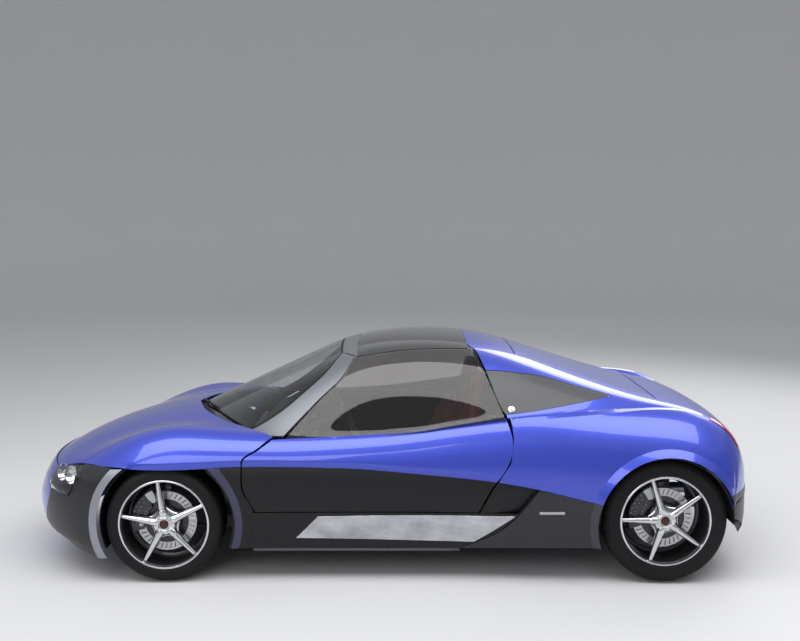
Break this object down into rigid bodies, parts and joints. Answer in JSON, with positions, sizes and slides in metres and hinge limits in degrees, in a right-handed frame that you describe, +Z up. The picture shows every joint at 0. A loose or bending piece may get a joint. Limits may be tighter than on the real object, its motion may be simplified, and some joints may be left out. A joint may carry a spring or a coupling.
{
  "type": "concept sports car",
  "caption": "Low mid-engined two-seat concept coupe with smooth blue wings over a dark lower body, bright sill plates, spoked alloy wheels, opening doors and an engine lid.",
  "frame": {"origin": "on the ground below the middle of the overall length and width", "axes": "+X towards the tail, +Y towards the right-hand side of the car, +Z up; the nose points along -X"},
  "size_m": [3.8697, 1.7956, 1.181],
  "materials": {
    "body_blue": "gloss",
    "lower_grey": "satin",
    "lower_black": "gloss",
    "lens": "clear",
    "plate": "brushed",
    "quarter": "satin",
    "lamp_red": "gloss",
    "roof": "gloss",
    "glass": "tinted",
    "frame_silver": "satin",
    "steel": "machined",
    "tub": "satin",
    "engine": "cast",
    "dash": "matte",
    "seat": "matte",
    "wheel_rim": "matte",
    "tyre": "matte",
    "rim": "polished",
    "disc": "machined",
    "knuckle": "cast"
  },
  "bodies": {
    "chassis": {"front_clip": "body_blue", "nose_shield": "body_blue", "front_bumper": "lower_grey", "headlamps": "lens", "front_side_panels": "lower_black", "side_sills": "lower_black", "sill_plates": "plate", "rear_corner_panels": "lower_black", "rear_clip": "body_blue", "quarter_panels": "quarter", "rear_side_panels": "lower_grey", "rear_bumper": "lower_grey", "tail_lamps": "lamp_red", "roof_panel": "roof", "windscreen": "glass", "windscreen_pillars": "frame_silver", "windscreen_header": "frame_silver", "door_hinge_pins": "steel", "lid_hinge_shaft": "steel", "tub": "tub", "engine": "engine", "exhaust": "steel", "dashboard": "dash", "seats": "seat", "steering_column": "dash", "front_wishbones": "steel", "rear_wishbones": "steel", "rear_uprights": "knuckle", "fuel_cap": "plate", "front_arch_liners": "dash", "rear_arch_liners": "dash"},
    "left_door": {"left_door": "body_blue", "left_door_glass": "glass", "left_door_hinges": "steel"},
    "right_door": {"right_door": "body_blue", "right_door_glass": "glass", "right_door_hinges": "steel"},
    "engine_lid": {"engine_lid": "body_blue", "lid_hinge_arms": "steel"},
    "left_knuckle": {"front_left_knuckle": "knuckle"},
    "right_knuckle": {"front_right_knuckle": "knuckle"},
    "steering_wheel": {"steering_wheel": "wheel_rim"},
    "front_left_wheel": {"front_left_tyre": "tyre", "front_left_rim": "rim", "front_left_disc": "disc"},
    "front_right_wheel": {"front_right_tyre": "tyre", "front_right_rim": "rim", "front_right_disc": "disc"},
    "rear_left_wheel": {"rear_left_tyre": "tyre", "rear_left_rim": "rim", "rear_left_disc": "disc"},
    "rear_right_wheel": {"rear_right_tyre": "tyre", "rear_right_rim": "rim", "rear_right_disc": "disc"}
  },
  "joints": [
    {"name": "left_door_hinge", "type": "hinge", "parent": "chassis", "child": "left_door", "pos_m": [-0.55, -0.755, 0.46], "axis": [0, 0, -1], "range_deg": [0, 60]},
    {"name": "right_door_hinge", "type": "hinge", "parent": "chassis", "child": "right_door", "pos_m": [-0.55, 0.755, 0.46], "axis": [0, 0, 1], "range_deg": [0, 60]},
    {"name": "engine_lid_hinge", "type": "hinge", "parent": "chassis", "child": "engine_lid", "pos_m": [0.776, 0, 1.04389], "axis": [0, -1, 0], "range_deg": [0, 50]},
    {"name": "left_steer", "type": "hinge", "parent": "chassis", "child": "left_knuckle", "pos_m": [-1.103, -0.691, 0.293], "axis": [0, 0, 1], "range_deg": [-24, 24]},
    {"name": "right_steer", "type": "hinge", "parent": "chassis", "child": "right_knuckle", "pos_m": [-1.103, 0.691, 0.293], "axis": [0, 0, 1], "range_deg": [-24, 24]},
    {"name": "steering_wheel_turn", "type": "hinge", "parent": "chassis", "child": "steering_wheel", "pos_m": [-0.22452, -0.35, 0.76825], "axis": [0.9063, 0, 0.4226], "range_deg": [-340, 340]},
    {"name": "front_left_spin", "type": "hinge", "parent": "left_knuckle", "child": "front_left_wheel", "pos_m": [-1.103, -0.734, 0.293], "axis": [0, 1, 0], "continuous": true},
    {"name": "front_right_spin", "type": "hinge", "parent": "right_knuckle", "child": "front_right_wheel", "pos_m": [-1.103, 0.734, 0.293], "axis": [0, 1, 0], "continuous": true},
    {"name": "rear_left_spin", "type": "hinge", "parent": "chassis", "child": "rear_left_wheel", "pos_m": [1.407, -0.734, 0.313], "axis": [0, 1, 0], "continuous": true},
    {"name": "rear_right_spin", "type": "hinge", "parent": "chassis", "child": "rear_right_wheel", "pos_m": [1.407, 0.734, 0.313], "axis": [0, 1, 0], "continuous": true}
  ],
  "couplings": [
    {"joint": "right_steer", "follows": "left_steer", "ratio": 1},
    {"joint": "steering_wheel_turn", "follows": "left_steer", "ratio": 14}
  ]
}
